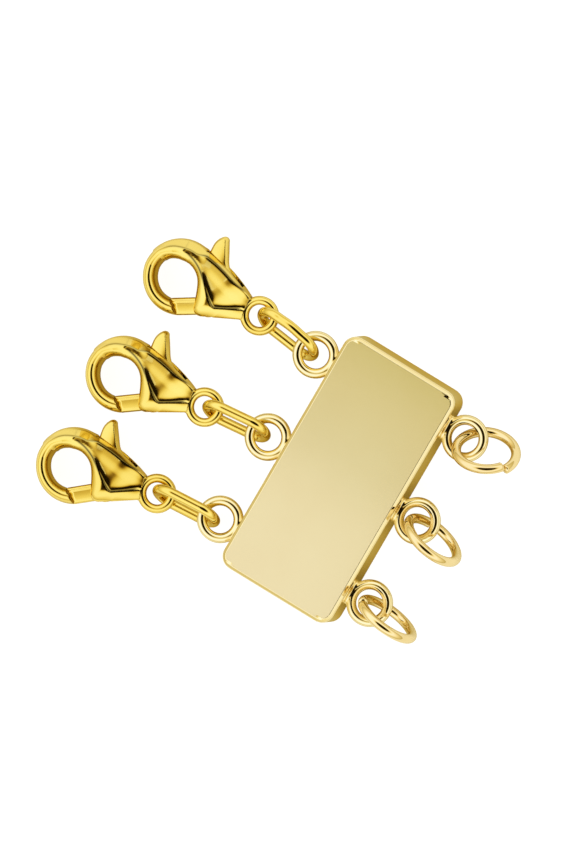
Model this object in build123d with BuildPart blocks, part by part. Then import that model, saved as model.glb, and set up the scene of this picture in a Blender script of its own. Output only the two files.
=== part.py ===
# Three-strand layering clasp, lying flat.
# A polished bar carries three soldered loops on each long side. The left-hand loops hold
# oval links with lobster claws, the right-hand loops hold cut jump rings.
# X runs from the claws to the rings, Y along the bar, Z up. The origin is the centre of the
# bar's underside. Lengths are millimetres and angles are degrees.
import os
from math import cos, radians, sin

from build123d import *

os.makedirs("parts", exist_ok=True)

# Bar
plate_width = 11.1
plate_length = 22.9
plate_thickness = 3.6
plate_corner = 1.2
plate_top_edge = 0.38
plate_under_edge = 0.15

# Soldered loops: alike on both sides, each row slid a little along the bar
loop_wire = 0.87
loop_hole = 2.35
loop_pitch = 8.2
loop_sink = 0.16
left_row_shift = -0.24
right_row_shift = 0.31
solder_radius = 0.62

# Oval links
link_wire = 0.87
link_length = 6.5
link_width = 3.7

# Round jump rings
ring_wire = 0.86
ring_outer = 6.0
ring_cut = 0.16

# Lobster claws: the eye is the local origin, the hook lies towards -X, the thumb tab towards +Y
claw_thickness = 3.0
hook_radius = 3.30
hook_reach = 7.62
hook_rise = 0.26
hook_wire = 1.25
eye_hole = 1.88
eye_rim = 0.76
eye_thickness = 0.84
neck_thickness = 1.50
rim_round = 0.50
panel_depth = 0.42

# Lever of the claw, turning on its pin
lever_thickness = 1.30
lever_round = 0.14
lever_side_gap = 0.05
lever_edge_gap = 0.10
lever_swing = 20.0
gate_gap = 0.06
pivot_x = -4.34
pivot_y = -1.16
pivot_boss = 0.86
pin_radius = 0.38
pin_gap = 0.03
pin_seat = 0.28

# Rest: how far round wire stays off the surface below
rest_gap = 0.01

# Where each strand's pieces lie: places, turns about Z from +X, and leans towards +Y
strands = [
    {"eye": (-13.40, 8.26), "claw_turn": 7.0,
     "link_centre": (-10.44, 8.23), "link_turn": -6.8, "link_lean": 32.4,
     "ring_centre": (9.71, 8.62), "ring_way": 107.0, "ring_tilt": 52.5,
     "cut_at": 143.0, "cut_spread": 0.46},
    {"eye": (-13.54, -0.93), "claw_turn": 11.2,
     "link_centre": (-10.51, -0.49), "link_turn": 6.0, "link_lean": 26.8,
     "ring_centre": (9.62, -0.27), "ring_way": 76.3, "ring_tilt": 75.3,
     "cut_at": -60.0, "cut_spread": 0.04},
    {"eye": (-13.36, -9.43), "claw_turn": 14.6,
     "link_centre": (-10.58, -8.98), "link_turn": 4.2, "link_lean": 23.8,
     "ring_centre": (9.67, -8.12), "ring_way": 81.5, "ring_tilt": 81.0,
     "cut_at": 25.0, "cut_spread": 0.04},
]

# Worked-out sizes
loop_mid_radius = (loop_hole + loop_wire) / 2
loop_reach = plate_width / 2 + loop_mid_radius + loop_wire / 2 - loop_sink
loop_height = plate_thickness / 2
ring_mid_radius = (ring_outer - ring_wire) / 2
link_end_radius = (link_width - link_wire) / 2
link_straight = link_length - link_width
eye_mid_radius = (eye_hole + eye_rim) / 2
claw_middle = claw_thickness / 2
slot_half = lever_thickness / 2 + lever_side_gap
gate_inner_radius = hook_radius - 1.04 * hook_wire

# Hook wire from the claw's back round to its tip: angle about the hook's centre, then the
# wire's width as a share of hook_wire and its thickness as a share of claw_thickness
hook_sections = [
    {"angle": 80, "width": 1.49, "thickness": 0.96},
    {"angle": 102, "width": 1.47, "thickness": 0.93},
    {"angle": 126, "width": 1.32, "thickness": 0.88},
    {"angle": 150, "width": 1.10, "thickness": 0.82},
    {"angle": 180, "width": 1.00, "thickness": 0.77},
    {"angle": 210, "width": 0.99, "thickness": 0.74},
    {"angle": 240, "width": 1.00, "thickness": 0.72},
    {"angle": 264, "width": 1.04, "thickness": 0.70},
    {"angle": 292, "width": 1.12, "thickness": 0.69},
]


def hook_point(angle, radius):
    """A point of the claw's plan, from the hook's centre."""
    turn = radians(angle)
    return (-hook_reach + radius * cos(turn), hook_rise + radius * sin(turn))


def from_pivot(x, y, swing=0.0):
    """A point of the claw's plan, given from the pivot and swung open by an angle."""
    turn = radians(-swing)
    return (pivot_x + x * cos(turn) - y * sin(turn), pivot_y + x * sin(turn) + y * cos(turn))


def gate_joint(gap=0.0):
    """The stepped line between the hook's tip and the gate, from inside to outside."""
    inner, outer = hook_point(268, gate_inner_radius), hook_point(287.5, hook_radius)
    run = Vector(*outer) - Vector(*inner)
    back = Vector(run.Y, -run.X).normalized() * gap
    step = Vector(-run.Y, run.X).normalized() * 0.09
    shares = [(-0.35, 0), (0.30, 0), (0.44, 1), (0.58, 0), (1.35, 0)]
    points = [Vector(*inner) + run * share + step * side + back for share, side in shares]
    return [(point.X, point.Y) for point in points]


def make_plate():
    """The bar with its six soldered loops, one solid."""
    with BuildPart() as plate:
        with BuildSketch(Plane.XY):
            RectangleRounded(plate_width, plate_length, plate_corner)
        extrude(amount=plate_thickness)
        fillet(plate.faces().sort_by(Axis.Z)[-1].edges(), radius=plate_top_edge)
        fillet(plate.faces().sort_by(Axis.Z)[0].edges(), radius=plate_under_edge)
        for side, shift in [(-1, left_row_shift), (1, right_row_shift)]:
            for step in (-1, 0, 1):
                along = shift + step * loop_pitch
                with Locations((side * loop_reach, along, loop_height)):
                    Torus(loop_mid_radius, loop_wire / 2)
                with Locations((side * plate_width / 2, along, loop_height)):
                    Sphere(solder_radius)
    return plate.part


def make_hook():
    """The hook's wire, thicker towards the claw's back."""
    with BuildPart() as hook:
        for row in hook_sections:
            width = row["width"] * hook_wire
            turn = radians(row["angle"])
            x, y = hook_point(row["angle"], hook_radius - width / 2)
            section = Plane((x, y, 0), x_dir=(cos(turn), sin(turn), 0),
                            z_dir=(-sin(turn), cos(turn), 0))
            with BuildSketch(section):
                Ellipse(width / 2, row["thickness"] * claw_thickness / 2)
        loft()
        with BuildSketch(Plane.XY):
            joint = gate_joint(gap=gate_gap)
            Polygon(*joint, (joint[-1][0] + 3, joint[-1][1]), (joint[0][0] + 3, joint[0][1]),
                    align=None)
        extrude(amount=claw_thickness, both=True, mode=Mode.SUBTRACT)
    return hook.part


def make_cheeks():
    """The claw's middle before its slot is cut: round rims, thinner towards the eye."""
    start = hook_sections[1]
    back_start = hook_point(start["angle"] - 6, hook_radius)
    inner_end = hook_point(start["angle"] - 6, hook_radius - start["width"] * hook_wire)
    with BuildPart() as cheeks:
        with BuildSketch(Plane.XY):
            with BuildLine():
                crown = ThreePointArc(back_start, hook_point(87, hook_radius),
                                      hook_point(78, hook_radius))
                back = TangentArc(crown @ 1, (-eye_mid_radius, 1.20), tangent=crown % 1)
                neck = Line(back @ 1, (-eye_mid_radius, -0.95))
                foot = Line(neck @ 1, from_pivot(-0.20, -0.92))
                heel = TangentArc(foot @ 1, from_pivot(-1.18, -0.24), tangent=foot % 1)
                mouth = TangentArc(heel @ 1, from_pivot(-1.59, 1.51), tangent=heel % 1)
                TangentArc(mouth @ 1, inner_end, tangent=mouth % 1)
                Line(inner_end, back_start)
            make_face()
        extrude(amount=claw_middle, both=True)
        for level in (claw_middle, -claw_middle):
            rim = cheeks.edges().filter_by_position(Axis.Z, level - 0.01, level + 0.01)
            joins = rim.filter_by(GeomType.LINE)
            straight_foot = joins.sort_by(Axis.Y)[0]
            rounded = [edge for edge in rim if edge not in joins] + [straight_foot]
            fillet(rounded, radius=rim_round)
        with BuildSketch(Plane.XZ):
            with BuildLine():
                crest = Polyline((-hook_reach - 1.5, 0), (-hook_reach - 1.5, claw_middle * 0.90),
                                 (-hook_reach + 1.2, claw_middle), (pivot_x + 0.3, claw_middle))
                fall = TangentArc(crest @ 1, (-eye_hole / 2, neck_thickness / 2), tangent=(1, 0))
                Polyline(fall @ 1, (-eye_hole / 2, 0), (-hook_reach - 1.5, 0))
            make_face()
            mirror(about=Plane.XZ)
        extrude(amount=2 * hook_radius, both=True, mode=Mode.INTERSECT)
    return cheeks.part


def make_panel():
    """What is cut from a cheek's upper face: a sloping panel below a raised rim."""
    crown = Vector(*hook_point(99, 2.50), claw_middle * 0.95)
    corner = Vector(*from_pivot(0.52, 0.30), claw_middle - panel_depth)
    neck = Vector(-eye_mid_radius - 0.20, 0.05, neck_thickness / 2 + 0.02)
    slope = Plane(crown, x_dir=neck - crown, z_dir=(corner - crown).cross(neck - crown))
    with BuildPart() as panel:
        with BuildSketch(Plane.XY):
            with BuildLine():
                shoulder = ThreePointArc((crown.X, crown.Y - 0.20), from_pivot(-2.48, 3.24),
                                         from_pivot(-1.45, 2.38))
                side = Line(shoulder @ 1, from_pivot(0.21, 0.50))
                bend = TangentArc(side @ 1, from_pivot(0.64, 0.26), tangent=side % 1)
                Polyline(bend @ 1, (neck.X, neck.Y - 0.12), (0, neck.Y), (0, 3.0), (crown.X, 5.0),
                         shoulder @ 0)
            make_face()
        extrude(amount=claw_thickness)
        split(bisect_by=slope, keep=Keep.TOP)
    return panel.part


def lever_outline():
    """The lever's plan: gate, web between the cheeks, and thumb tab."""
    joint = gate_joint()
    with BuildSketch(Plane.XY) as outline:
        with BuildLine():
            gate_end = Polyline(*joint[1:4])
            gate_inner = Line(hook_point(268, gate_inner_radius), from_pivot(-1.29, 0.40))
            Line(gate_inner @ 0, gate_end @ 0)
            web_foot = Line(gate_inner @ 1, from_pivot(-0.98, 1.16))
            web = ThreePointArc(web_foot @ 1, from_pivot(-1.56, 2.35), from_pivot(-1.90, 3.64))
            tab_left = Line(web @ 1, from_pivot(-1.78, 4.90))
            tip_left = ThreePointArc(tab_left @ 1, from_pivot(-1.63, 5.54), from_pivot(-1.22, 6.08))
            tip = TangentArc(tip_left @ 1, from_pivot(-0.60, 5.84), tangent=tip_left % 1)
            tab_right = Line(tip @ 1, from_pivot(0.00, 4.40))
            tail = TangentArc(tab_right @ 1, from_pivot(0.91, 3.35), tangent=tab_right % 1)
            back = Line(tail @ 1, from_pivot(pivot_boss, 0))
            gate_outer = hook_point(287.5, hook_radius)
            under = Line(gate_outer, from_pivot(-0.27, -pivot_boss * 0.94))
            ThreePointArc(under @ 1, from_pivot(pivot_boss * 0.55, -pivot_boss * 0.835), back @ 1)
            Line(gate_end @ 1, gate_outer)
        make_face()
    return outline.sketch


def make_lever():
    """The lever, bored for its pin, with softened edges."""
    with BuildPart() as lever:
        add(lever_outline())
        extrude(amount=lever_thickness / 2, both=True)
        faces = lever.faces().filter_by(Axis.Z)
        chamfer(faces.edges(), length=lever_round)
        with BuildSketch(Plane.XY):
            with Locations((pivot_x, pivot_y)):
                Circle(pin_radius + pin_gap)
        extrude(amount=claw_thickness, both=True, mode=Mode.SUBTRACT)
    return lever.part


def make_slot():
    """The room between the cheeks that the lever needs over its whole swing."""
    tab_left = -1.90 - lever_edge_gap
    with BuildPart() as slot:
        with BuildSketch(Plane.XY):
            with BuildLine():
                wall = Polyline(from_pivot(tab_left, 8), from_pivot(tab_left, 3.64))
                inner = ThreePointArc(wall @ 1, from_pivot(-1.56 - lever_edge_gap, 2.35),
                                      from_pivot(-0.98 - lever_edge_gap, 1.16))
                mouth = Polyline(inner @ 1, from_pivot(-1.66, 1.05), from_pivot(-2.20, 0.60),
                                 from_pivot(-2.20, -2.2), from_pivot(0.1, -2.2),
                                 from_pivot(0.1, -pivot_boss - lever_edge_gap))
                boss = ThreePointArc(mouth @ 1, from_pivot(0.64, -0.64),
                                     from_pivot(pivot_boss + lever_edge_gap, 0))
                tail = from_pivot(0.91 + lever_edge_gap, 3.35, lever_swing)
                Polyline(boss @ 1, tail, (tail[0] + 0.05, 6.5), wall @ 0)
            make_face()
        extrude(amount=slot_half, both=True)
    return slot.part


def make_claw_body():
    """The cast body of a claw: hook, cheeks and eye, one solid."""
    with BuildPart() as body:
        add(make_hook())
        add(make_cheeks())
        panel = make_panel()
        add(panel, mode=Mode.SUBTRACT)
        mirror(panel, about=Plane.XY, mode=Mode.SUBTRACT)
        with BuildSketch(Plane.XZ):
            with Locations((eye_mid_radius, 0)):
                SlotOverall(eye_thickness, eye_rim, rotation=90)
        revolve(axis=Axis.Z)
        add(make_slot(), mode=Mode.SUBTRACT)
        with BuildSketch(Plane.XY):
            with Locations((pivot_x, pivot_y)):
                Circle(pin_radius + pin_gap)
        extrude(amount=slot_half + pin_seat, both=True, mode=Mode.SUBTRACT)
    return body.part


def make_pin():
    """The hidden pin between the cheeks."""
    with BuildPart() as pin:
        with BuildSketch(Plane.XY):
            with Locations((pivot_x, pivot_y)):
                Circle(pin_radius)
        extrude(amount=slot_half + pin_seat - pin_gap, both=True)
    return pin.part


def make_oval_link(place):
    """An oval link in the plane's XY, its long way along the plane's X."""
    with BuildPart() as link:
        half = link_straight / 2
        for side in (-1, 1):
            with BuildLine(place) as path:
                run = Line((-half, side * link_end_radius), (half, side * link_end_radius))
            with BuildSketch(Plane(run @ 0, z_dir=run % 0)):
                Circle(link_wire / 2)
            sweep(path=path.wire())
            centre = place.from_local_coords(Vector(side * half, 0, 0))
            top = place.from_local_coords(Vector(side * half, link_end_radius, 0))
            with BuildSketch(Plane(top, z_dir=place.x_dir)):
                Circle(link_wire / 2)
            revolve(axis=Axis(centre, place.z_dir * -side), revolution_arc=180)
    return link.part


def make_jump_ring(centre, flat, cut_at, cut_spread):
    """A round ring in the plane's XY, cut at an angle, its ends sprung apart sideways."""
    turn = radians(cut_at)
    to_cut = flat.x_dir * cos(turn) + flat.y_dir * sin(turn)
    far = Vector(*centre) - to_cut * ring_mid_radius
    lean = cut_spread / 2 / (2 * ring_mid_radius)
    arc = 180 - ring_cut / 2 / ring_mid_radius * 57.3
    with BuildPart() as ring:
        for side in (-1, 1):
            way = (to_cut + flat.z_dir * lean * side).normalized()
            normal = (flat.z_dir - to_cut * lean * side).normalized()
            middle = far + way * ring_mid_radius
            with BuildSketch(Plane(far, x_dir=way, z_dir=normal.cross(way))):
                Circle(ring_wire / 2)
            revolve(axis=Axis(middle, normal * side), revolution_arc=arc)
    return ring.part


def save(shape, name):
    """Label a finished piece and write it."""
    shape.label = name
    export_step(shape, f"parts/{name}.step")


def save_placed(shape, place, name):
    """Lay a copy of a claw's piece in its place and write it."""
    with BuildPart() as placed:
        with Locations(place):
            add(shape)
    save(placed.part, name)


save(make_plate(), "plate")

claw_body = make_claw_body()
claw_lever = make_lever()
claw_pin = make_pin()

for number, strand in enumerate(strands, start=1):
    turn = radians(strand["claw_turn"])
    claw_place = Plane((*strand["eye"], claw_middle), x_dir=(cos(turn), sin(turn), 0))
    save_placed(claw_body, claw_place, f"claw_body_{number}")
    save_placed(claw_lever, claw_place, f"claw_lever_{number}")
    save_placed(claw_pin, claw_place, f"claw_pin_{number}")

    turn, lean = radians(strand["link_turn"]), radians(strand["link_lean"])
    along = Vector(cos(turn), sin(turn), 0)
    upward = Vector(-sin(turn) * sin(lean), cos(turn) * sin(lean), cos(lean))
    height = link_end_radius * cos(lean) + link_wire / 2 + rest_gap
    link_place = Plane((*strand["link_centre"], height), x_dir=along, z_dir=along.cross(upward))
    save(make_oval_link(link_place), f"oval_link_{number}")

    way, tilt = radians(strand["ring_way"]), radians(strand["ring_tilt"])
    normal = Vector(sin(tilt) * cos(way), sin(tilt) * sin(way), cos(tilt))
    height = (ring_mid_radius * sin(tilt) + ring_wire / 2 + rest_gap
              + strand["cut_spread"] / 2 * cos(tilt))
    ring_centre = (*strand["ring_centre"], height)
    ring_flat = Plane(ring_centre, x_dir=(-sin(way), cos(way), 0), z_dir=normal)
    ring = make_jump_ring(ring_centre, ring_flat, strand["cut_at"], strand["cut_spread"])
    save(ring, f"jump_ring_{number}")
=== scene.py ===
# A three-strand layering clasp in polished gold plate, lying on a pale table under soft light.
# Forms are worked out in millimetres in the model's own frame and written in metres.
from math import cos, hypot, pi, radians, sin

import bpy
import numpy as np
from mathutils import Matrix, Vector


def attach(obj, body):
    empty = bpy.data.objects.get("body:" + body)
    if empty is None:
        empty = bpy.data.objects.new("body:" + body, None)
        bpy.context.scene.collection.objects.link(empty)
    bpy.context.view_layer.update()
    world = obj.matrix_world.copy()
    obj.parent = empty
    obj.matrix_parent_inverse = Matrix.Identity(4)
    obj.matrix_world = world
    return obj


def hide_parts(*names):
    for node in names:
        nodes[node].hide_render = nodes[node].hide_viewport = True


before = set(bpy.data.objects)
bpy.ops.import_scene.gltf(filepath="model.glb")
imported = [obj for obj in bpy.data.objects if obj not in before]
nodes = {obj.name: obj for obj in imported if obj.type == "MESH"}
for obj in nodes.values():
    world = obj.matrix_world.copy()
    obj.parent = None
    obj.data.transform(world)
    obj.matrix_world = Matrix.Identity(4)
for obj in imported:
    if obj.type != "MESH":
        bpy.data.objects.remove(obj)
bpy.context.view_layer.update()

MM = 0.001

# Meshing: the grid's step for the claws, the steps of the bar's grid at its edges and its walls,
# the step that a field's slope is probed with, and the sides of a round wire
CELL = 0.07
EDGE_STEP = 0.035
WALL_STEP = 0.09
PROBE_STEP = 0.004
WIRE_SIDES = 28

# Bar and its soldered loops
PLATE_HALF = np.array([5.55, 11.45])
PLATE_THICKNESS = 3.6
PLATE_CORNER = 1.2
TOP_EDGE = 0.30
TOP_BEVEL = radians(38)
BEVEL_SOFTNESS = 0.10
FACE_SOFTNESS = 0.012
UNDER_EDGE = 0.15
LOOP_RADIUS = 1.61
LOOP_WIRE = 0.435
LOOP_REACH = 7.435
LOOP_PITCH = 8.2
ROW_SHIFTS = {-1: -0.24, 1: 0.31}
SOLDER_FILLET = 0.34

# Links and rings: half the wire's width, the radius of the wire's middle line, how far a link's bow
# runs each way from its middle, and half a ring's cut, with the length that its ends taper over
LINK_WIRE = 0.435
LINK_END_RADIUS = 1.415
LINK_STRAIGHT = 2.8
BOW_RUN = 1.6
RING_WIRE = 0.424
RING_RADIUS = 2.57
CUT_HALF_GAP = 0.08
CUT_TAPER = 0.16
REST_GAP = 0.01

# Claws, measured from the eye, with the hook towards -X and the thumb tab towards +Y
CLAW_MIDDLE = 1.5
HOOK_CENTRE = np.array([-7.62, 0.26])
HOOK_RADIUS = 3.30
HOOK_WIRE = 1.25
PIVOT = np.array([-4.34, -1.16])
EYE_RADIUS = 1.32
EYE_RIM = 0.38
EYE_HALF = 0.42
NECK_HALF = 0.75
SLOT_HALF = 0.70
LEVER_HALF = 0.65
BORE_RADIUS = 0.41
GROOVE_DEPTH = 0.06
GROOVE_WIDTH = 0.06
GROOVE_INSET = 0.34
BELLY_DEPTH = 0.08
WAIST_DEPTH = 0.14
TAB_CROWN = 0.12
TAB_CHAMFER = 0.20
TAB_SLOPE = radians(60)

# The strands in millimetres and degrees: the claw's eye and turn; the link's middle, turn, lean and
# bow; the ring's middle, facing and tilt, where it is cut, and how far its ends stand apart
STRANDS = [
    {"eye": (-13.40, 8.26), "claw_turn": 7.0,
     "link_centre": (-10.44, 8.23), "link_turn": -6.8, "link_lean": 32.4, "link_bow": 0.20,
     "ring_centre": (9.71, 8.62), "ring_way": 107.0, "ring_tilt": 52.5,
     "cut_at": 143.0, "cut_spread": 0.46},
    {"eye": (-13.54, -0.93), "claw_turn": 11.2,
     "link_centre": (-10.51, -0.49), "link_turn": 6.0, "link_lean": 26.8, "link_bow": 0.0,
     "ring_centre": (9.62, -0.27), "ring_way": 76.3, "ring_tilt": 75.3,
     "cut_at": -60.0, "cut_spread": 0.04},
    {"eye": (-13.36, -9.43), "claw_turn": 14.6,
     "link_centre": (-10.58, -8.98), "link_turn": 4.2, "link_lean": 23.8, "link_bow": 0.0,
     "ring_centre": (9.67, -8.12), "ring_way": 81.5, "ring_tilt": 81.0,
     "cut_at": 25.0, "cut_spread": 0.04},
]


# Plan lines

def hook_point(angle, radius):
    """A point of the claw's plan, from the hook's centre."""
    turn = radians(angle)
    return HOOK_CENTRE + radius * np.array([cos(turn), sin(turn)])


def from_pivot(x, y):
    """A point of the claw's plan, from the lever's pivot."""
    return PIVOT + (x, y)


def arc_points(centre, radius, start, end, steps):
    """Points of an arc, its two ends included."""
    turns = np.radians(np.linspace(start, end, steps + 1))
    return centre + radius * np.stack([np.cos(turns), np.sin(turns)], 1)


def arc_through(start, middle, end, steps=12):
    """Points of the arc through three points."""
    start, middle, end = np.array(start), np.array(middle), np.array(end)
    to_middle, to_end = middle - start, end - start
    twice_area = 2 * (to_middle[0] * to_end[1] - to_middle[1] * to_end[0])
    square_middle, square_end = to_middle @ to_middle, to_end @ to_end
    centre = start + np.array([
        to_end[1] * square_middle - to_middle[1] * square_end,
        to_middle[0] * square_end - to_end[0] * square_middle]) / twice_area
    first = np.arctan2(*(start - centre)[::-1])
    sweep = (np.arctan2(*(end - centre)[::-1]) - first) % (2 * pi)
    if twice_area < 0:
        sweep -= 2 * pi
    turns = np.degrees(first + sweep * np.array([0, 1]))
    return arc_points(centre, hypot(*(start - centre)), *turns, steps)


def tangent_arc(start, end, tangent, steps=12):
    """Points of the arc that leaves start along a tangent and reaches end."""
    start, end = np.array(start), np.array(end)
    side = np.array([-tangent[1], tangent[0]]) / hypot(*tangent)
    chord = end - start
    radius = chord @ chord / (2 * (chord @ side))
    centre = start + side * radius
    bulge = (start + end) / 2 - centre
    middle = centre + bulge / hypot(*bulge) * abs(radius)
    if chord @ np.array(tangent) < 0:
        middle = 2 * centre - middle
    return arc_through(start, middle, end, steps)


def heading(points):
    """The way a line of points runs at its end."""
    return points[-1] - points[-2]


def line_distance(plan, line, closed=False):
    """Distance of plan points to a line of points."""
    ends = np.roll(line, -1, 0) if closed else line[1:]
    starts = line if closed else line[:-1]
    best = np.full(plan.shape[:-1], 1e9)
    for a, b in zip(starts, ends):
        run = b - a
        t = np.clip(((plan - a) @ run) / (run @ run), 0, 1)
        gap = ((plan - a - t[..., None] * run) ** 2).sum(-1)
        best = np.where(gap < best, gap, best)
    return np.sqrt(best)


def outline_distance(plan, outline):
    """Signed distance to a closed outline, negative inside."""
    distance = line_distance(plan, outline, closed=True)
    inside = np.zeros(plan.shape[:-1], bool)
    for a, b in zip(outline, np.roll(outline, -1, 0)):
        if a[1] != b[1]:
            crosses = (a[1] > plan[..., 1]) != (b[1] > plan[..., 1])
            at = a[0] + (plan[..., 1] - a[1]) * (b[0] - a[0]) / (b[1] - a[1])
            inside ^= crosses & (plan[..., 0] < at)
    return np.where(inside, -distance, distance)


# Forms as distance fields

def joined(a, b, blend):
    """Two forms as one, with a hollow fillet where they meet."""
    share = np.clip(0.5 + 0.5 * (b - a) / blend, 0, 1)
    return b * (1 - share) + a * share - blend * share * (1 - share)


def common(a, b, blend):
    """What two forms share, with a rounded edge where they meet."""
    return -joined(-a, -b, blend)


def oval(across, upward, half_width, half_height):
    """Distance to an oval section."""
    near = np.sqrt((across / half_width) ** 2 + (upward / half_height) ** 2) + 1e-9
    steep = np.sqrt((across / half_width ** 2) ** 2 + (upward / half_height ** 2) ** 2) + 1e-9
    return near * (near - 1) / steep


def rimmed(edge, rise, reach, drop):
    """A slab whose upper edge is a quarter oval: edge is the plan distance, rise that to its top."""
    across = np.maximum(edge + reach, 0)
    upward = np.maximum(rise + drop, 0)
    return np.where((across > 0) & (upward > 0), oval(across, upward, reach, drop),
                    np.maximum(edge, rise))


def smooth_step(value, start, end):
    """0 before start, 1 after end, eased between."""
    share = np.clip((value - start) / (end - start), 0, 1)
    return share * share * (3 - 2 * share)


def even_axes(low, high):
    """Grid positions along X, Y and Z, one cell apart."""
    return [np.arange(start, end + CELL, CELL) for start, end in zip(low, high)]


def skin(plan_of, solid_of, axes):
    """Vertices, quads and normals of the surface where a field is zero, found on a grid of axes.
    Each cell that the surface crosses gets one vertex, which is then moved onto the surface."""
    plan = np.stack(np.meshgrid(axes[0], axes[1], indexing="ij"), -1)
    measured = [value[..., None] for value in plan_of(plan)]
    values = solid_of(measured, axes[2][None, None, :])
    filled = values < 0
    cell_shape = tuple(n - 1 for n in values.shape)
    corners = [(i, j, k) for i in (0, 1) for j in (0, 1) for k in (0, 1)]

    def corner(array, offset):
        return array[tuple(slice(o, o + n) for o, n in zip(offset, cell_shape))]

    count = sum(corner(filled, offset).astype(np.int8) for offset in corners)
    mixed = (count > 0) & (count < 8)
    where = np.argwhere(mixed)
    number = np.full(cell_shape, -1)
    number[mixed] = np.arange(len(where))
    total = np.zeros((len(where), 3))
    crossings = np.zeros(len(where))
    for first in corners:
        for axis in range(3):
            if first[axis]:
                continue
            second = tuple(o + (i == axis) for i, o in enumerate(first))
            a, b = corner(values, first)[mixed], corner(values, second)[mixed]
            cut = (a < 0) != (b < 0)
            share = np.where(cut, a / np.where(cut, a - b, 1), 0)
            for i in range(3):
                from_edge = axes[i][where[:, i] + first[i]]
                to_edge = axes[i][where[:, i] + second[i]]
                total[:, i] += np.where(cut, from_edge + share * (to_edge - from_edge), 0)
            crossings += cut
    points = total / crossings[:, None]

    quads = []
    for axis in range(3):
        u, v = (axis + 1) % 3, (axis + 2) % 3
        run = [slice(None)] * 3
        run[axis] = slice(0, -1)
        ahead = [slice(None)] * 3
        ahead[axis] = slice(1, None)
        here, there = filled[tuple(run)], filled[tuple(ahead)]
        for leaving in (True, False):
            edge = np.argwhere(here & ~there if leaving else ~here & there)
            edge = edge[(edge[:, u] > 0) & (edge[:, v] > 0)]
            around = []
            for du, dv in ((-1, -1), (0, -1), (0, 0), (-1, 0)):
                cell = edge.copy()
                cell[:, u] += du
                cell[:, v] += dv
                around.append(number[tuple(cell.T)])
            ring = np.stack(around, 1)
            quads.append(ring if leaving else ring[:, ::-1])

    def field(at):
        return solid_of(plan_of(at[:, :2]), at[:, 2])

    def slope(at):
        here = plan_of(at[:, :2])
        level = solid_of(here, at[:, 2])
        across = [(field(at + PROBE_STEP * np.eye(3)[i]) - level) / PROBE_STEP for i in (0, 1)]
        upward = (solid_of(here, at[:, 2] + PROBE_STEP) - level) / PROBE_STEP
        return level, np.stack(across + [upward], 1)

    for _ in range(2):
        level, way = slope(points)
        move = (level / np.maximum((way ** 2).sum(1), 0.2))[:, None] * way
        length = np.linalg.norm(move, axis=1, keepdims=True)
        points = points - move * np.minimum(1, 0.06 / np.maximum(length, 1e-9))
    _, way = slope(points)
    normals = way / np.maximum(np.linalg.norm(way, axis=1, keepdims=True), 1e-9)
    return points, np.concatenate(quads), normals


# Pieces

def piece(name, points, faces, normals, material, replaced, body, painted_shade=None):
    """A smooth mesh piece, from points in millimetres, that stands for a CAD node."""
    mesh = bpy.data.meshes.new(name)
    mesh.from_pydata((np.asarray(points) * MM).tolist(), [],
                     [[int(corner) for corner in face] for face in faces])
    mesh.validate()
    mesh.polygons.foreach_set("use_smooth", [True] * len(mesh.polygons))
    if normals is not None:
        mesh.normals_split_custom_set_from_vertices(np.asarray(normals).tolist())
    # An optional point attribute holding each point's share of painted shade, which the material
    # darkens the colour by
    if painted_shade is not None:
        mesh.attributes.new("painted_shade", "FLOAT", "POINT").data.foreach_set("value", painted_shade)
    mesh.materials.append(material)
    made = bpy.data.objects.new(name, mesh)
    bpy.context.scene.collection.objects.link(made)
    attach(made, body)
    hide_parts(replaced)


def placed(points, normals, centre, x_way, y_way, z_way):
    """Points and normals moved into a place."""
    turn = np.stack([x_way, y_way, z_way])
    return points @ turn + np.array(centre), normals @ turn


def wire(path, tangents, sides, radii, closed):
    """A round wire along a path: points, quads and normals. sides are unit vectors across it."""
    turns = np.linspace(0, 2 * pi, WIRE_SIDES, endpoint=False)
    other = np.cross(tangents, sides)
    ring = (np.cos(turns)[None, :, None] * sides[:, None, :]
            + np.sin(turns)[None, :, None] * other[:, None, :])
    points = path[:, None, :] + np.asarray(radii)[:, None, None] * ring
    rows = len(path)
    faces = []
    for row in range(rows if closed else rows - 1):
        after = (row + 1) % rows
        for k in range(WIRE_SIDES):
            ahead = (k + 1) % WIRE_SIDES
            faces.append((row * WIRE_SIDES + k, row * WIRE_SIDES + ahead,
                          after * WIRE_SIDES + ahead, after * WIRE_SIDES + k))
    return points.reshape(-1, 3), faces, ring.reshape(-1, 3)


# The bar

def plate_plan(plan):
    """Distances in plan: to the bar's wall, and to the nearest loop's middle line."""
    beyond = np.abs(plan) - (PLATE_HALF - PLATE_CORNER)
    wall = (np.linalg.norm(np.maximum(beyond, 0), axis=-1)
            + np.minimum(beyond.max(-1), 0) - PLATE_CORNER)
    side = np.where(plan[..., 0] > 0, 1, -1)
    shift = np.where(side > 0, ROW_SHIFTS[1], ROW_SHIFTS[-1])
    step = np.clip(np.round((plan[..., 1] - shift) / LOOP_PITCH), -1, 1)
    along = plan[..., 1] - shift - step * LOOP_PITCH
    loop = np.hypot(plan[..., 0] - side * LOOP_REACH, along) - LOOP_RADIUS
    return wall, loop


def plate_solid(measured, z):
    """The bar with its six loops, joined by small solder fillets."""
    wall, loop = measured
    rise = z - PLATE_THICKNESS
    bevel = (wall + TOP_EDGE) * sin(TOP_BEVEL) + rise * cos(TOP_BEVEL)
    upper = common(common(wall, bevel, BEVEL_SOFTNESS), rise, FACE_SOFTNESS)
    lower = rimmed(wall, -z, UNDER_EDGE, UNDER_EDGE)
    bar = np.maximum(upper, lower)
    loops = np.hypot(loop, z - PLATE_THICKNESS / 2) - LOOP_WIRE
    return joined(bar, loops, SOLDER_FILLET)


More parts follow.
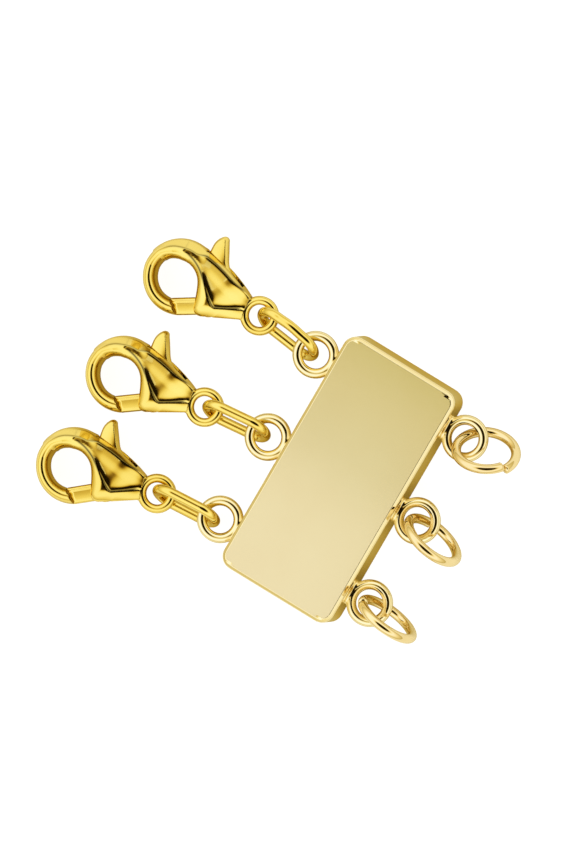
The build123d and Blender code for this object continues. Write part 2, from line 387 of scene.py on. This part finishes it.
def make_plate(material):
    """The bar with its loops, on a grid that is fine at the edges and wide on the flat face."""
    inner = np.linspace(-4.9, 4.9, 9)
    outer = np.concatenate([np.arange(5.02, 5.6, EDGE_STEP), np.arange(5.64, 9.7, WALL_STEP)])
    across = np.concatenate([-outer[::-1], inner, outer])
    middle = np.arange(-10.71, 10.76, WALL_STEP)
    ends = np.arange(10.82, 11.55, EDGE_STEP)
    along = np.concatenate([-ends[::-1], middle, ends])
    upward = np.concatenate([[-0.1], np.arange(-0.02, 0.24, 0.05), np.arange(0.30, 3.2, 0.10),
                             np.arange(3.22, 3.70, EDGE_STEP)])
    points, faces, normals = skin(plate_plan, plate_solid, (across, along, upward))
    piece("bar", points, faces, normals, material, "plate", "clasp")


# The claws

# Round the hook from the crown over its back to its tip: angle, the wire's width and the whole
# width of the casting as shares of HOOK_WIRE, and half the wire's height as a share of CLAW_MIDDLE
HOOK_TABLE = [
    (80, 0.66, 1.49, 0.78),
    (102, 0.74, 1.47, 0.88),
    (126, 0.96, 1.32, 0.90),
    (150, 1.04, 1.10, 0.86),
    (180, 1.00, 1.00, 0.78),
    (210, 0.99, 0.99, 0.74),
    (240, 1.00, 1.00, 0.72),
    (264, 1.04, 1.04, 0.70),
    (292, 1.12, 1.12, 0.69),
]
HOOK_ANGLES, WIRE_WIDTHS, WHOLE_WIDTHS, WIRE_HEIGHTS = np.array(HOOK_TABLE, float).T

# Where the gate meets the hook's tip, inside and outside, and where its inner edge meets the web
GATE_INNER = hook_point(268, HOOK_RADIUS - 1.04 * HOOK_WIRE)
GATE_OUTER = hook_point(287.5, HOOK_RADIUS)
GATE_HEEL = from_pivot(-1.29, 0.40)


def gate_joint(gap):
    """The stepped line between the hook's tip and the gate, from inside to outside."""
    run = GATE_OUTER - GATE_INNER
    across = np.array([-run[1], run[0]]) / hypot(*run)
    shares = [(-0.35, 0), (0.30, 0), (0.44, 0.09), (0.58, 0), (1.35, 0)]
    return np.array([GATE_INNER + run * share + across * (side - gap) for share, side in shares])


def back_line():
    """The claw's outer edge, from the hook's back over the crown to the neck."""
    crown = arc_points(HOOK_CENTRE, HOOK_RADIUS, 160, 78, 18)
    back = tangent_arc(crown[-1], (-EYE_RADIUS, 1.20), heading(crown))
    return np.concatenate([crown, back[1:]])


def front_line():
    """The claw's edge from the neck round the foot and heel, then along the opening."""
    foot = np.array([(-EYE_RADIUS, -0.95), from_pivot(-0.20, -0.92)])
    heel = tangent_arc(foot[-1], from_pivot(-1.18, -0.24), heading(foot), 8)
    mouth = tangent_arc(heel[-1], from_pivot(-1.59, 1.51), heading(heel), 8)
    top = tangent_arc(mouth[-1], hook_point(96, HOOK_RADIUS - 1.84), heading(mouth), 8)
    inner = [hook_point(angle, HOOK_RADIUS - HOOK_WIRE * np.interp(angle, HOOK_ANGLES, WHOLE_WIDTHS))
             for angle in range(102, 161, 6)]
    return np.concatenate([foot, heel[1:], mouth[1:], top[1:], inner])


def panel_edge():
    """Where the hollow panel starts, from the crown round its corner to the neck."""
    crown = hook_point(99, 2.50)
    shoulder = arc_through(crown - (0, 0.20), from_pivot(-2.48, 3.24), from_pivot(-1.45, 2.38))
    side = np.array([shoulder[-1], from_pivot(0.21, 0.50)])
    bend = tangent_arc(side[-1], from_pivot(0.64, 0.26), heading(side), 6)
    return np.concatenate([shoulder, side[1:], bend[1:], [(-EYE_RADIUS - 0.20, -0.07)]])


def panel_region():
    """The hollow panel's whole plan, run out past the claw's back."""
    edge = panel_edge()
    return np.concatenate([edge, [(0.5, -0.07), (0.5, 6), (edge[0][0] - 0.6, 6)]])


def slot_outline():
    """Plan of the slot that the lever turns in."""
    swung = Matrix.Rotation(radians(-20), 2)
    tail = PIVOT + np.array(swung @ Vector((1.01, 3.35)))
    inner = arc_through(from_pivot(-2.00, 3.64), from_pivot(-1.66, 2.35), from_pivot(-1.08, 1.16))
    mouth = [from_pivot(-1.66, 1.05), from_pivot(-2.20, 0.60), from_pivot(-2.20, -2.2),
             from_pivot(0.1, -2.2), from_pivot(0.1, -0.96)]
    boss = arc_through(from_pivot(0.1, -0.96), from_pivot(0.64, -0.64), from_pivot(0.96, 0))
    return np.concatenate([[from_pivot(-2.00, 8)], inner, mouth, boss[1:],
                           [tail, (tail[0] + 0.05, 6.5)]])


# Plan lines and outlines of the claw body
BACK = back_line()
FRONT = front_line()
CHEEKS = np.concatenate([BACK, FRONT])
PANEL = panel_region()
SLOT = slot_outline()
TIP = np.concatenate([gate_joint(0.06), [(-4.0, -3.6), (-4.0, -0.6)]])


def claw_plan(plan):
    """Everything that the claw body needs to know of a point's plan."""
    away = plan - HOOK_CENTRE
    angle = np.degrees(np.arctan2(away[..., 1], away[..., 0])) % 360
    reach = np.hypot(away[..., 0], away[..., 1])
    inside = outline_distance(plan, CHEEKS) < 0
    back = line_distance(plan, BACK)
    front = line_distance(plan, FRONT)
    return (plan[..., 0], plan[..., 1], angle, reach,
            np.where(~inside & (back <= front), back, -back),
            np.where(~inside & (front < back), front, -front),
            outline_distance(plan, PANEL), outline_distance(plan, SLOT),
            outline_distance(plan, TIP))


# Where the crown passes into the cheek, along X
CROWN_END = (-7.0, -5.8)

# The slanted wall round the claw's back: how high its foot stands at the crown, how much higher
# along the cheek, and how far it leans in for each millimetre of height at the one and the other
WALL_FOOT = 0.42
WALL_FOOT_GAIN = 0.28
CROWN_LEAN = 0.75
CHEEK_LEAN = 0.50

# The cheek's upper face: how far it lies under the claw's top, how much lower round the hook, and
# its fall to the neck, which starts behind the pivot and further along X for each millimetre of Y
CHEEK_INSET = 0.04
CROWN_DROP = 0.36
NECK_FALL_START = 0.5
NECK_FALL_LENGTH = 3.9
NECK_SKEW = 0.53

# The rounded rim along the opening and foot: how far it reaches in, how much further at the heel,
# and its drop, which is what is left of the cheek's height over RIM_FLOOR, within two limits
RIM_REACH = 0.95
HEEL_REACH = 0.40
RIM_FLOOR = 0.64
RIM_DROPS = (0.35, 0.85)

# The hollow panel: its fall beside the crease, how much it rises for each millimetre of Y and near
# the slanted wall, and its dip right beside that wall
PANEL_FALL = 0.14
PANEL_SLOPE = 0.042
PANEL_RISE = 0.025
PANEL_DIP = 0.006

# Widths of the fillets that join the cheeks to the hook, and the eye to both
CHEEK_FILLET = 0.20
EYE_FILLET = 0.16


def cheek_levels(x, y, angle):
    """Heights above the middle, of a cheek's upper face and of the foot of its slanted wall, and
    how far that wall leans in for each millimetre of height."""
    share = np.clip((x - NECK_SKEW * y - PIVOT[0] + NECK_FALL_START) / NECK_FALL_LENGTH, 0, 1)
    fall = share ** 3 * (share * (share * 6 - 15) + 10)
    crown = smooth_step(angle, 96, 150) * (angle < 250)
    side = CLAW_MIDDLE - CHEEK_INSET + (NECK_HALF - CLAW_MIDDLE) * fall - CROWN_DROP * crown
    past_crown = smooth_step(x, *CROWN_END)
    wall_foot = WALL_FOOT + WALL_FOOT_GAIN * past_crown
    return side, wall_foot, CROWN_LEAN + (CHEEK_LEAN - CROWN_LEAN) * past_crown


def panel_depth(x, y, panel, from_wall):
    """How deep the hollow panel lies: steep beside its crease, then rising in a soft wave."""
    corner = smooth_step(x, -6.6, -4.6)
    fall = PANEL_FALL * (1 - np.exp(np.minimum(panel, 0) / (0.09 + 0.07 * corner)))
    slope = PANEL_SLOPE + 0.02 * (1 - smooth_step(x, -6.8, -5.2))
    return (fall - slope * np.clip(y + 0.9, 0, 4.0)
            - PANEL_RISE * (1 - smooth_step(from_wall, 0.55, 1.35))
            + PANEL_DIP * (1 - smooth_step(from_wall, 0.0, 0.55)))


def claw_solid(measured, z):
    """The cast body: hook, cheeks with their hollow panels, slot and eye."""
    x, y, angle, reach, back, front, panel, slot, tip = measured
    height = np.sqrt(z * z + 1e-8)

    half_width = np.interp(angle, HOOK_ANGLES, WIRE_WIDTHS) * HOOK_WIRE / 2
    inner = HOOK_RADIUS - np.interp(angle, HOOK_ANGLES, WHOLE_WIDTHS) * HOOK_WIRE
    half_height = np.interp(angle, HOOK_ANGLES, WIRE_HEIGHTS) * CLAW_MIDDLE
    hook = oval(reach - (inner + half_width), height, half_width, half_height)
    hook = np.maximum(hook, np.where(angle > 320, 1.0, (86 - angle) * radians(1) * reach))
    hook = common(hook, -tip, 0.03)

    side, wall_foot, lean = cheek_levels(x, y, angle)
    rise = height - side
    heel = np.exp(-((x - PIVOT[0] + 0.9) / 0.8) ** 2) * (1 - smooth_step(y, -1.0, 0.4))
    drop = np.clip(side - RIM_FLOOR, *RIM_DROPS)
    opening = rimmed(front, rise, RIM_REACH + HEEL_REACH * heel, drop)
    on_crown = 1 - smooth_step(x, *CROWN_END)
    ledge = rise + 0.10 * on_crown * smooth_step(-front, 0.70, 1.45)
    wall = common((back + (height - wall_foot) * lean) * 0.85, back, 0.20)
    outer = common(wall, ledge, 0.16 - 0.08 * on_crown)
    land = np.maximum(opening, outer)

    from_wall = -back - (side - wall_foot) * lean
    depth = 0.03 + panel_depth(x, y, panel, from_wall)
    floor = side - 0.03 - smooth_step(x, -8.4, -5.0) * depth
    flank = panel * 0.80 - (height - floor) * 0.60
    hollow = common(flank, floor - height, 0.16)
    middle = common(land, -hollow, 0.10)
    middle = common(middle, -common(slot, height - SLOT_HALF, 0.04), 0.05)

    ring = np.hypot(x, y) - EYE_RADIUS
    upright = np.maximum(height - (EYE_HALF - EYE_RIM), 0)
    eye = np.hypot(ring, upright) - EYE_RIM
    body = joined(hook, middle, CHEEK_FILLET)
    return joined(body, eye, EYE_FILLET)


def lever_outline():
    """The lever's plan: gate, web between the cheeks, and thumb tab."""
    joint = gate_joint(0.0)
    web = arc_through(from_pivot(-0.98, 1.16), from_pivot(-1.56, 2.35), from_pivot(-1.90, 3.64))
    tip_left = arc_through(from_pivot(-1.78, 4.90), from_pivot(-1.63, 5.54), from_pivot(-1.22, 6.08))
    tip = tangent_arc(tip_left[-1], from_pivot(-0.60, 5.84), heading(tip_left), 8)
    down = np.array([from_pivot(-0.60, 5.84), from_pivot(0.00, 4.40)])
    tail = tangent_arc(down[-1], from_pivot(0.91, 3.35), heading(down), 8)
    boss = arc_through(from_pivot(0.86, 0), from_pivot(0.46, -0.70), from_pivot(-0.27, -0.79))
    return np.concatenate([
        GATE_EDGE, web, tip_left, tip[1:], down[1:], tail[1:], boss, [GATE_OUTER],
        joint[3:0:-1]])


GATE_EDGE = np.array([GATE_INNER, GATE_HEEL])
LEVER = lever_outline()


def lever_plan(plan):
    """Plan distances of a point: to the lever's outline and to the gate's inner edge."""
    gate = line_distance(plan, GATE_EDGE)
    gate = np.where(plan[..., 1] > PIVOT[1] + 0.9, 9.0, gate)
    return plan[..., 0], plan[..., 1], outline_distance(plan, LEVER), gate


def lever_solid(measured, z):
    """The lever: a blank with softened edges, grooved along the gate and thin at the waist, with a
    chamfered thumb tab, and bored for its pin."""
    x, y, edge, gate = measured
    height = np.sqrt(z * z + 1e-8)
    groove = GROOVE_DEPTH * np.exp(-((gate - GROOVE_INSET) / GROOVE_WIDTH) ** 2)
    belly = BELLY_DEPTH * np.clip((gate - GROOVE_INSET) / 0.86, 0, 1) ** 2 * (gate < 3)
    waist = WAIST_DEPTH * np.clip((4.5 - y) / 2.6, 0, 1) * smooth_step(y, 0.6, 1.9)
    tab = smooth_step(y, 1.6, 2.4)
    crown = TAB_CROWN * np.clip(x - PIVOT[0] + 0.60, -1.3, 1) ** 2 * tab
    level = LEVER_HALF - groove - belly - waist - crown
    blank = rimmed(edge, height - level, 0.36, 0.30)
    chamfer = (edge + TAB_CHAMFER) * sin(TAB_SLOPE) + (height - level) * cos(TAB_SLOPE)
    wedge = common(common(edge, chamfer, 0.08), height - level, 0.04)
    blank = blank * (1 - tab) + wedge * tab
    bore = np.hypot(x - PIVOT[0], y - PIVOT[1]) - BORE_RADIUS
    return common(blank, -bore, 0.04)


def claw_painted_shade(points):
    """How much painted shade and dark reflection each point gets: in the crease beside the hollow
    panel, and a trace along the top of the slanted wall."""
    x, y, angle, _, back, _, panel, _, _ = claw_plan(points[:, :2])
    height = np.abs(points[:, 2])
    side, wall_foot, lean = cheek_levels(x, y, angle)
    inset = (side - wall_foot) * lean
    crease = np.exp(-((panel + 0.05) / 0.09) ** 2) * smooth_step(-x, 1.5, 1.9)
    crease *= 0.95 * (back < -0.15) * smooth_step(x, -8.3, -7.3)
    trace = np.exp(-((back + inset - 0.04) / 0.08) ** 2) * smooth_step(x, -10.2, -9.2)
    trace *= (0.5 + 0.45 * smooth_step(x, -6.6, -5.8)) * (1 - smooth_step(x, -2.2, -1.7))
    return (np.maximum(crease, trace) * (height > 0.5)).astype(np.float32)


def claw_place(strand):
    """Where a claw lies: its eye's centre and its three ways."""
    turn = radians(strand["claw_turn"])
    x_way = np.array([cos(turn), sin(turn), 0])
    y_way = np.array([-sin(turn), cos(turn), 0])
    return (*strand["eye"], CLAW_MIDDLE), x_way, y_way, np.array([0, 0, 1.0])


def make_claws(material):
    """The three claw bodies and their levers, from one mesh of each."""
    body = skin(claw_plan, claw_solid, even_axes((-11.1, -3.3, -1.63), (1.9, 3.8, 1.63)))
    lever = skin(lever_plan, lever_solid, even_axes((-7.6, -3.2, -0.76), (-2.9, 5.2, 0.76)))
    # Painted shade and dark reflection for the bodies' creases and wall tops; the levers get none
    painted_shade = claw_painted_shade(body[0])
    unshaded = np.zeros(len(lever[0]), np.float32)
    for number, strand in enumerate(STRANDS, start=1):
        for form, shade_share, name, part, group in (
                (body, painted_shade, "hook_body", "claw_body", "clasp"),
                (lever, unshaded, "thumb_lever", "claw_lever", f"lever_{number}")):
            points, normals = placed(form[0], form[2], *claw_place(strand))
            piece(f"{name}_{number}", points, form[1], normals, material,
                  f"{part}_{number}", group, shade_share)


# Links and rings

def link_place(strand):
    """Where an oval link lies: its centre and its three ways."""
    turn, lean = radians(strand["link_turn"]), radians(strand["link_lean"])
    along = np.array([cos(turn), sin(turn), 0])
    upward = np.array([-sin(turn) * sin(lean), cos(turn) * sin(lean), cos(lean)])
    height = LINK_END_RADIUS * cos(lean) + LINK_WIRE + REST_GAP
    return (*strand["link_centre"], height), along, upward, np.cross(along, upward)


def make_link(strand, number, material):
    """An oval link of round wire, its long way along its place's X, its upper rail bowed."""
    straight = np.linspace(-LINK_STRAIGHT / 2, LINK_STRAIGHT / 2, 24, endpoint=False)
    turns = np.linspace(0, pi, 44, endpoint=False)
    lower = np.stack([straight, np.full(24, -LINK_END_RADIUS)], 1)
    right = np.stack([LINK_STRAIGHT / 2 + LINK_END_RADIUS * np.sin(turns),
                      -LINK_END_RADIUS * np.cos(turns)], 1)
    half = np.concatenate([lower, right])
    line = np.concatenate([half, -half])
    bow = strand["link_bow"] * (np.cos(np.clip(line[:, 0] / BOW_RUN, -1, 1) * pi) * 0.5 + 0.5)
    line[:, 1] += np.where(line[:, 1] > 0, bow, 0)
    path = np.column_stack([line, np.zeros(len(line))])
    tangents = np.roll(path, -1, 0) - np.roll(path, 1, 0)
    tangents /= np.linalg.norm(tangents, axis=1, keepdims=True)
    sides = np.cross(tangents, (0, 0, 1.0))
    points, faces, normals = wire(path, tangents, sides, np.full(len(path), LINK_WIRE), True)
    points, normals = placed(points, normals, *link_place(strand))
    piece(f"oval_wire_{number}", points, faces, normals, material,
          f"oval_link_{number}", "clasp")


def make_ring(strand, number, material):
    """A round ring cut through, its two ends pinched by the cutter and sprung apart sideways."""
    way, tilt = radians(strand["ring_way"]), radians(strand["ring_tilt"])
    normal = np.array([sin(tilt) * cos(way), sin(tilt) * sin(way), cos(tilt)])
    across = np.array([-sin(way), cos(way), 0])
    upward = np.cross(normal, across)
    height = (RING_RADIUS * sin(tilt) + RING_WIRE + REST_GAP
              + strand["cut_spread"] / 2 * cos(tilt))
    centre = np.array([*strand["ring_centre"], height])
    half_cut = CUT_HALF_GAP / RING_RADIUS
    turns = np.linspace(half_cut, 2 * pi - half_cut, 200)
    from_end = np.minimum(turns - half_cut, 2 * pi - half_cut - turns) * RING_RADIUS
    turns = turns + radians(strand["cut_at"])
    out = np.cos(turns)[:, None] * across + np.sin(turns)[:, None] * upward
    tangents = -np.sin(turns)[:, None] * across + np.cos(turns)[:, None] * upward
    share = np.linspace(-1, 1, len(turns))
    lift = strand["cut_spread"] / 2 * np.sign(share) * (1 - np.cos(share * pi)) / 2
    path = centre + RING_RADIUS * out + lift[:, None] * normal
    radii = RING_WIRE * np.sqrt(
        np.clip(1 - (1 - np.clip(from_end / CUT_TAPER, 0, 1)) ** 2, 0.02, 1))
    points, faces, _ = wire(path, tangents, out, radii, False)
    faces += [tuple(range(WIRE_SIDES))[::-1], tuple(range(len(points) - WIRE_SIDES, len(points)))]
    piece(f"cut_ring_{number}", points, faces, None, material,
          f"jump_ring_{number}", "clasp")


# Materials

WEAR_SCALE = 180.0
# Near-black colour of the claws' painted shade and dark reflections, in creases and along the walls'
# tops
PAINTED_SHADE_COLOR = (0.035, 0.018, 0.004)


def gold(name, bright, deep, roughness):
    """Polished plated gold: two close tones in soft clouds, faint wear in gloss and surface."""
    material = bpy.data.materials.new(name)
    material.use_nodes = True
    tree = material.node_tree
    shader = tree.nodes["Principled BSDF"]
    shader.inputs["Metallic"].default_value = 1.0
    place = tree.nodes.new("ShaderNodeTexCoord")

    clouds = tree.nodes.new("ShaderNodeTexNoise")
    clouds.inputs["Scale"].default_value = WEAR_SCALE
    clouds.inputs["Detail"].default_value = 3.0
    tree.links.new(place.outputs["Object"], clouds.inputs["Vector"])
    tones = tree.nodes.new("ShaderNodeValToRGB")
    tones.color_ramp.elements[0].position = 0.35
    tones.color_ramp.elements[0].color = (*deep, 1)
    tones.color_ramp.elements[1].position = 0.65
    tones.color_ramp.elements[1].color = (*bright, 1)
    tree.links.new(clouds.outputs["Fac"], tones.inputs["Fac"])
    # Painted shade and dark reflection: a point attribute blends the base colour towards near black
    shade_attribute = tree.nodes.new("ShaderNodeAttribute")
    shade_attribute.attribute_name = "painted_shade"
    shaded_tone = tree.nodes.new("ShaderNodeMix")
    shaded_tone.data_type = "RGBA"
    shaded_tone.inputs["B"].default_value = (*PAINTED_SHADE_COLOR, 1)
    tree.links.new(shade_attribute.outputs["Fac"], shaded_tone.inputs["Factor"])
    tree.links.new(tones.outputs["Color"], shaded_tone.inputs["A"])
    tree.links.new(shaded_tone.outputs["Result"], shader.inputs["Base Color"])

    gloss = tree.nodes.new("ShaderNodeMapRange")
    gloss.inputs["To Min"].default_value = roughness * 0.7
    gloss.inputs["To Max"].default_value = roughness * 1.4
    tree.links.new(clouds.outputs["Fac"], gloss.inputs["Value"])
    tree.links.new(gloss.outputs["Result"], shader.inputs["Roughness"])

    grain = tree.nodes.new("ShaderNodeTexNoise")
    grain.inputs["Scale"].default_value = WEAR_SCALE * 9
    grain.inputs["Detail"].default_value = 2.0
    tree.links.new(place.outputs["Object"], grain.inputs["Vector"])
    bump = tree.nodes.new("ShaderNodeBump")
    bump.inputs["Strength"].default_value = 0.02
    bump.inputs["Distance"].default_value = 0.02 * MM
    tree.links.new(grain.outputs["Fac"], bump.inputs["Height"])
    tree.links.new(bump.outputs["Normal"], shader.inputs["Normal"])
    return material


# The way to the camera, which has no perspective, and its roll in degrees; how far to its right
# and up it aims past the bar, in millimetres, and how far off it stands
VIEW_WAY = np.array([0.173, 0.130, 0.976])
VIEW_ROLL = 31.45
PIXELS_PER_MM = 11.7
FRAME_HEIGHT_PX = 864
AIM_RIGHT = -4.656
AIM_UP = 4.044
CAMERA_DISTANCE = 200

# The way to the middle of the dark gap in the lights, close to the camera's
GAP_WAY = np.array([0.214, 0.161, 0.963])

# The table and the overhead card, in metres, and how far the table's shade reaches, in millimetres
TABLE_RADIUS = 0.35
MIRROR_RADIUS = 0.12
MIRROR_DROP = 0.00002
CARD_HEIGHT = 0.3
CARD_MARGIN = 0.003
SHADE_REACH = 5


# The stage

def ramp_node(tree, stops):
    """A colour ramp from (position, colour) pairs."""
    node = tree.nodes.new("ShaderNodeValToRGB")
    marks = node.color_ramp.elements
    while len(marks) < len(stops):
        marks.new(0.5)
    for mark, (position, color) in zip(marks, stops):
        mark.position = position
        mark.color = (*color, 1)
    return node


def make_world():
    """Soft light from all round, pale overhead and warmer low down, with a dark gap that the metal
    mirrors as black lines. The camera itself sees plain white."""
    world = bpy.data.worlds.new("studio")
    bpy.context.scene.world = world
    world.use_nodes = True
    tree = world.node_tree
    tree.nodes.clear()
    place = tree.nodes.new("ShaderNodeTexCoord")
    split = tree.nodes.new("ShaderNodeSeparateXYZ")
    tree.links.new(place.outputs["Generated"], split.inputs["Vector"])
    sky = ramp_node(tree, [
        (0.0, (0.52, 0.44, 0.20)), (0.28, (0.78, 0.72, 0.46)), (0.55, (0.94, 0.97, 1.0)),
        (1.0, (0.94, 0.97, 1.0))])
    tree.links.new(split.outputs["Z"], sky.inputs["Fac"])

    toward = tree.nodes.new("ShaderNodeVectorMath")
    toward.operation = "DOT_PRODUCT"
    toward.inputs[1].default_value = (GAP_WAY / np.linalg.norm(GAP_WAY)).tolist()
    tree.links.new(place.outputs["Generated"], toward.inputs[0])
    angle = tree.nodes.new("ShaderNodeMath")
    angle.operation = "ARCCOSINE"
    tree.links.new(toward.outputs["Value"], angle.inputs[0])
    gap = ramp_node(tree, [
        (radians(22), (0.010, 0.006, 0.001)), (radians(25), (0.16, 0.085, 0.010)),
        (radians(27.5), (0.56, 0.42, 0.12)), (radians(31), (0.84, 0.74, 0.40)),
        (radians(36), (0.96, 0.94, 0.80)), (radians(44), (1.0, 1.0, 1.0))])
    tree.links.new(angle.outputs["Value"], gap.inputs["Fac"])
    both = tree.nodes.new("ShaderNodeMix")
    both.data_type = "RGBA"
    both.blend_type = "MULTIPLY"
    both.inputs["Factor"].default_value = 1.0
    tree.links.new(sky.outputs["Color"], both.inputs["A"])
    tree.links.new(gap.outputs["Color"], both.inputs["B"])

    lit = tree.nodes.new("ShaderNodeBackground")
    lit.inputs["Strength"].default_value = 1.25
    tree.links.new(both.outputs["Result"], lit.inputs["Color"])
    plain = tree.nodes.new("ShaderNodeBackground")
    plain.inputs["Color"].default_value = (1, 1, 1, 1)
    path = tree.nodes.new("ShaderNodeLightPath")
    mix = tree.nodes.new("ShaderNodeMixShader")
    tree.links.new(path.outputs["Is Camera Ray"], mix.inputs["Fac"])
    tree.links.new(lit.outputs["Background"], mix.inputs[1])
    tree.links.new(plain.outputs["Background"], mix.inputs[2])
    out = tree.nodes.new("ShaderNodeOutputWorld")
    tree.links.new(mix.outputs["Shader"], out.inputs["Surface"])


def make_stage_piece(name, points, color, glow, camera, glossy):
    """A flat staged sheet, seen by the camera, by reflections, or by both."""
    mesh = bpy.data.meshes.new(name)
    mesh.from_pydata(points, [], [tuple(range(len(points)))])
    sheet = bpy.data.objects.new(name, mesh)
    bpy.context.scene.collection.objects.link(sheet)
    material = bpy.data.materials.new(name)
    material.use_nodes = True
    shader = material.node_tree.nodes["Principled BSDF"]
    shader.inputs["Base Color"].default_value = (*color, 1)
    shader.inputs["Roughness"].default_value = 0.9
    shader.inputs["Specular IOR Level"].default_value = 0.0
    shader.inputs["Emission Color"].default_value = (1, 1, 1, 1)
    shader.inputs["Emission Strength"].default_value = glow
    mesh.materials.append(material)
    sheet.visible_camera = camera
    sheet.visible_glossy = glossy
    return sheet, material


def make_table():
    """A round white table top, and the one that the metal mirrors, shaded close to the piece."""
    rim = arc_points(np.zeros(2), TABLE_RADIUS, 0, 360, 96)[:-1]
    table, _ = make_stage_piece("table_top", [(*point, 0) for point in rim],
                                (0.25, 0.25, 0.25), 0.93, True, False)
    table.visible_diffuse = False
    table.visible_shadow = False
    rim = arc_points(np.zeros(2), MIRROR_RADIUS, 0, 360, 96)[:-1]
    mirrored, material = make_stage_piece(
        "mirrored_table", [(*point, -MIRROR_DROP) for point in rim], (0, 0, 0), 1.1, False, True)
    mirrored.visible_diffuse = False
    tree = material.node_tree
    shade = tree.nodes.new("ShaderNodeAmbientOcclusion")
    shade.inputs["Distance"].default_value = SHADE_REACH * MM
    shade.samples = 8
    # Painted shade and painted warm reflected light: the glow runs from near black right beside the
    # piece through warm gold to pale further off
    tones = ramp_node(tree, [
        (0.15, (0.10, 0.05, 0.006)), (0.50, (0.48, 0.33, 0.06)), (0.75, (0.55, 0.46, 0.18)),
        (0.92, (0.70, 0.64, 0.40)), (1.0, (0.92, 0.90, 0.76))])
    tree.links.new(shade.outputs["AO"], tones.inputs["Fac"])
    tree.links.new(tones.outputs["Color"],
                   tree.nodes["Principled BSDF"].inputs["Emission Color"])


def make_overhead_card():
    """A card, paler towards one end, hung where the bar's flat face mirrors it to the camera. From
    other high views that face mirrors the dark gap instead."""
    back = VIEW_WAY / np.linalg.norm(VIEW_WAY)
    middle = -back[:2] / back[2] * CARD_HEIGHT
    half = PLATE_HALF * MM + CARD_MARGIN
    corners = [(middle[0] + x * half[0], middle[1] + y * half[1], CARD_HEIGHT)
               for x, y in ((-1, -1), (1, -1), (1, 1), (-1, 1))]
    card, material = make_stage_piece("overhead_card", corners, (0, 0, 0), 1.0, False, True)
    card.visible_diffuse = False
    card.visible_shadow = False
    tree = material.node_tree
    place = tree.nodes.new("ShaderNodeTexCoord")
    split = tree.nodes.new("ShaderNodeSeparateXYZ")
    tree.links.new(place.outputs["Generated"], split.inputs["Vector"])
    tones = ramp_node(tree, [
        (0.07, (0.95, 0.95, 0.95)), (0.43, (0.91, 0.90, 0.84)), (0.59, (0.80, 0.79, 0.66)),
        (0.80, (0.76, 0.72, 0.52)), (0.93, (0.66, 0.63, 0.36))])
    tree.links.new(split.outputs["Y"], tones.inputs["Fac"])
    tree.links.new(tones.outputs["Color"],
                   tree.nodes["Principled BSDF"].inputs["Emission Color"])


def make_camera():
    """A camera without perspective, at the photograph's viewing angle."""
    back = VIEW_WAY / np.linalg.norm(VIEW_WAY)
    x_seen = np.array([1.0, 0, 0]) - back * back[0]
    x_seen /= np.linalg.norm(x_seen)
    y_seen = np.cross(back, x_seen)
    roll = radians(VIEW_ROLL)
    right = cos(roll) * x_seen + sin(roll) * y_seen
    up = -sin(roll) * x_seen + cos(roll) * y_seen
    aim = np.array([0, 0, PLATE_THICKNESS / 2]) + AIM_RIGHT * right + AIM_UP * up
    data = bpy.data.cameras.new("camera")
    data.type = "ORTHO"
    data.ortho_scale = FRAME_HEIGHT_PX / PIXELS_PER_MM * MM
    data.clip_start, data.clip_end = 0.01, 2.0
    camera = bpy.data.objects.new("camera", data)
    bpy.context.scene.collection.objects.link(camera)
    turn = Matrix([right, up, back]).transposed().to_4x4()
    camera.matrix_world = Matrix.Translation(Vector((aim + back * CAMERA_DISTANCE) * MM)) @ turn
    bpy.context.scene.camera = camera


make_camera()
make_world()
make_table()
make_overhead_card()

bar_gold = gold("pale_gold_mirror", (0.93, 0.81, 0.50), (0.91, 0.78, 0.47), 0.05)
claw_gold = gold("yellow_gold_cast", (0.91, 0.72, 0.20), (0.86, 0.65, 0.15), 0.08)
ring_gold = gold("warm_gold_wire", (0.91, 0.75, 0.42), (0.86, 0.68, 0.35), 0.07)

make_plate(bar_gold)
make_claws(claw_gold)
for number, strand in enumerate(STRANDS, start=1):
    make_link(strand, number, claw_gold)
    make_ring(strand, number, ring_gold)
    pin = nodes[f"claw_pin_{number}"]
    pin.data.materials.clear()
    pin.data.materials.append(claw_gold)

bpy.context.scene.view_settings.view_transform = "Standard"
